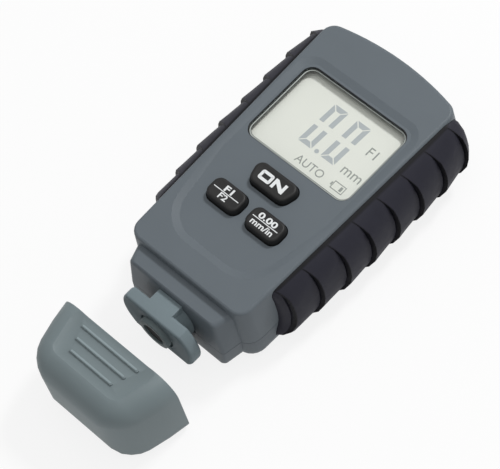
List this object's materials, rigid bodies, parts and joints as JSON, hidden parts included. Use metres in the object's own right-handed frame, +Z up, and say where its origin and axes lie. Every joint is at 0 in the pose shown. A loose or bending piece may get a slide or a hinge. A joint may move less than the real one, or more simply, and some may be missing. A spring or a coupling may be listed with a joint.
{
  "type": "coating thickness gauge",
  "caption": "Hand-held gauge that reads paint and plating thickness: display, keys, ribbed rubber side grips, a sprung probe in a flat-sided disc, and a loose cap that fits over the probe.",
  "frame": {"origin": "on the surface that the gauge lies on, under the middle of the gauge and its cap as they lie", "axes": "+Z up through the display, +Y along the gauge from the probe to the display end, +X to the right of the display as it is read"},
  "size_m": [0.0676, 0.1453, 0.0299],
  "materials": {
    "case_grey": "fine spark-eroded texture, satin",
    "case_back": "fine spark-eroded texture, satin",
    "grip_rubber": "smooth moulded rubber, low sheen",
    "clear_lens": "clear polished plastic",
    "lcd": "pale reflective display cell",
    "black_plastic": "moulded black plastic",
    "contact_rubber": "soft conductive strip",
    "board": "green solder mask",
    "chip": "moulded epoxy",
    "plug": "natural nylon",
    "key_black": "fine matte key top with white legends",
    "probe_plastic": "satin moulded plastic",
    "sleeve": "turned, fine satin",
    "core": "dark polished ferrite",
    "copper": "enamelled winding wire",
    "spring_steel": "drawn spring wire",
    "cell_jacket": "plain shrink jacket",
    "contact_metal": "nickel-plated strip",
    "screw_steel": "blackened steel",
    "board_screw_steel": "zinc-plated steel",
    "cap_grey": "fine texture, satin, a little paler than the case"
  },
  "bodies": {
    "case": {"front_cover": "case_grey", "rear_cover": "case_back", "left_grip": "grip_rubber", "right_grip": "grip_rubber", "display_window": "clear_lens", "lcd_glass": "lcd", "lcd_holder": "black_plastic", "contact_strips": "contact_rubber", "main_board": "board", "control_chip": "chip", "lead_plug": "plug", "key_switches": "black_plastic", "probe_housing": "probe_plastic", "probe_spring": "spring_steel", "probe_end_cap": "black_plastic", "battery_left": "cell_jacket", "battery_right": "cell_jacket", "battery_contacts": "contact_metal", "battery_springs": "spring_steel", "case_screws": "screw_steel", "board_screws": "board_screw_steel"},
    "power_button": {"key_power": "key_black"},
    "mode_button": {"key_mode": "key_black"},
    "zero_button": {"key_zero": "key_black"},
    "plunger": {"probe_sleeve": "sleeve", "probe_core": "core", "probe_coil": "copper"},
    "battery_door": {"battery_cover": "case_back"},
    "probe_cap": {"cap": "cap_grey"}
  },
  "joints": [
    {"name": "power_press", "type": "slide", "parent": "case", "child": "power_button", "axis": [0, 0, -1], "range_m": [0, 0.0008], "stiffness_N_per_m": 1500},
    {"name": "mode_press", "type": "slide", "parent": "case", "child": "mode_button", "axis": [0, 0, -1], "range_m": [0, 0.0008], "stiffness_N_per_m": 1500},
    {"name": "zero_press", "type": "slide", "parent": "case", "child": "zero_button", "axis": [0, 0, -1], "range_m": [0, 0.0008], "stiffness_N_per_m": 1500},
    {"name": "probe_press", "type": "slide", "parent": "case", "child": "plunger", "axis": [0, 1, 0], "range_m": [0, 0.0015], "stiffness_N_per_m": 1500, "deforming": ["probe_spring"]},
    {"name": "battery_slide", "type": "slide", "parent": "case", "child": "battery_door", "axis": [0, 1, 0], "range_m": [0, 0.056]},
    {"name": "cap_slide", "type": "slide", "parent": "case", "child": "probe_cap", "axis": [0, 1, 0], "range_m": [0, 0.0264]}
  ]
}
